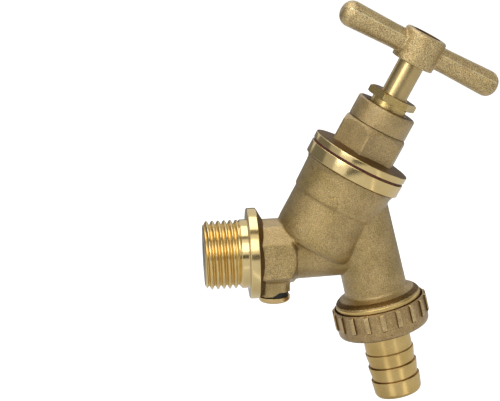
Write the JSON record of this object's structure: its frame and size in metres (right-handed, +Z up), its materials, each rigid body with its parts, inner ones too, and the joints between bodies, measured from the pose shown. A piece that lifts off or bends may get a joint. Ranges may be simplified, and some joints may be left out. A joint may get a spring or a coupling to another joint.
{
  "type": "garden tap",
  "caption": "Brass screw-down garden tap with a T-bar handle, a threaded inlet with check valves and a drain screw, and a hose union with a barbed tail.",
  "frame": {"origin": "on the inlet thread's axis, at the shoulder face that meets the wall fitting", "axes": "+Z up, +X along the inlet's axis away from the wall, XZ the plane of symmetry of the casting"},
  "size_m": [0.0914, 0.0308, 0.1243],
  "materials": {
    "cast_brass": "sand cast, fine satin",
    "bonnet_brass": "hot stamped, satin",
    "handle_brass": "stamped and tumbled",
    "machined_brass": "turned, bright",
    "red_fibre": "pressed fibre",
    "black_rubber": "moulded",
    "valve_plastic": "moulded",
    "spring_steel": "drawn wire",
    "graphite_packing": "pressed"
  },
  "bodies": {
    "tap": {"tap_body": "cast_brass", "inlet_connector": "machined_brass", "inlet_seal": "black_rubber", "first_check_housing": "valve_plastic", "first_check_spring": "spring_steel", "first_check_o_ring": "black_rubber", "second_check_housing": "valve_plastic", "second_check_spring": "spring_steel", "second_check_o_ring": "black_rubber", "bonnet": "bonnet_brass", "bonnet_washer": "red_fibre", "gland_nut": "machined_brass", "gland_ring": "machined_brass", "gland_packing": "graphite_packing"},
    "valve": {"jumper": "machined_brass", "tap_washer": "black_rubber", "washer_nut": "machined_brass"},
    "spindle_and_handle": {"spindle": "machined_brass", "handle": "handle_brass", "handle_screw": "machined_brass"},
    "first_check": {"first_check_poppet": "valve_plastic", "first_check_seal": "black_rubber"},
    "second_check": {"second_check_poppet": "valve_plastic", "second_check_seal": "black_rubber"},
    "union_seal": {"union_washer": "black_rubber"},
    "nut": {"union_nut": "handle_brass"},
    "tail": {"hose_tail": "machined_brass"},
    "drain_seal": {"drain_screw_washer": "black_rubber"},
    "drain": {"drain_screw": "machined_brass"}
  },
  "joints": [
    {"name": "valve_lift", "type": "slide", "parent": "tap", "child": "valve", "axis": [0.5, 0, 0.866], "range_m": [0, 0.006]},
    {"name": "spindle_turn", "type": "hinge", "parent": "valve", "child": "spindle_and_handle", "pos_m": [0.0189, 0, 0], "axis": [0.5, 0, 0.866], "range_deg": [0, 1080]},
    {"name": "first_check_lift", "type": "slide", "parent": "tap", "child": "first_check", "axis": [1, 0, 0], "range_m": [0, 0.002], "stiffness_N_per_m": 50, "springref_m": -0.005, "deforming": ["first_check_spring"]},
    {"name": "second_check_lift", "type": "slide", "parent": "tap", "child": "second_check", "axis": [1, 0, 0], "range_m": [0, 0.002], "stiffness_N_per_m": 50, "springref_m": -0.005, "deforming": ["second_check_spring"]},
    {"name": "union_slide", "type": "slide", "parent": "tap", "child": "union_seal", "axis": [0.1908, 0, -0.9816], "range_m": [0, 0.00544]},
    {"name": "union_nut_turn", "type": "hinge", "parent": "union_seal", "child": "nut", "pos_m": [0.03633, 0, 0], "axis": [0.1908, 0, -0.9816], "range_deg": [0, 1080]},
    {"name": "hose_tail_swivel", "type": "hinge", "parent": "union_seal", "child": "tail", "pos_m": [0.03633, 0, 0], "axis": [0.1908, 0, -0.9816], "continuous": true},
    {"name": "drain_slide", "type": "slide", "parent": "tap", "child": "drain_seal", "axis": [0, 0, -1], "range_m": [0, 0.003]},
    {"name": "drain_screw_turn", "type": "hinge", "parent": "drain_seal", "child": "drain", "pos_m": [0.0077, 0, -0.0131], "axis": [0, 0, -1], "range_deg": [0, 1080]}
  ],
  "couplings": [
    {"joint": "spindle_turn", "follows": "valve_lift", "rad_per_m": 3141.6},
    {"joint": "union_nut_turn", "follows": "union_slide", "rad_per_m": 3463.7},
    {"joint": "drain_screw_turn", "follows": "drain_slide", "rad_per_m": 6283.2}
  ]
}
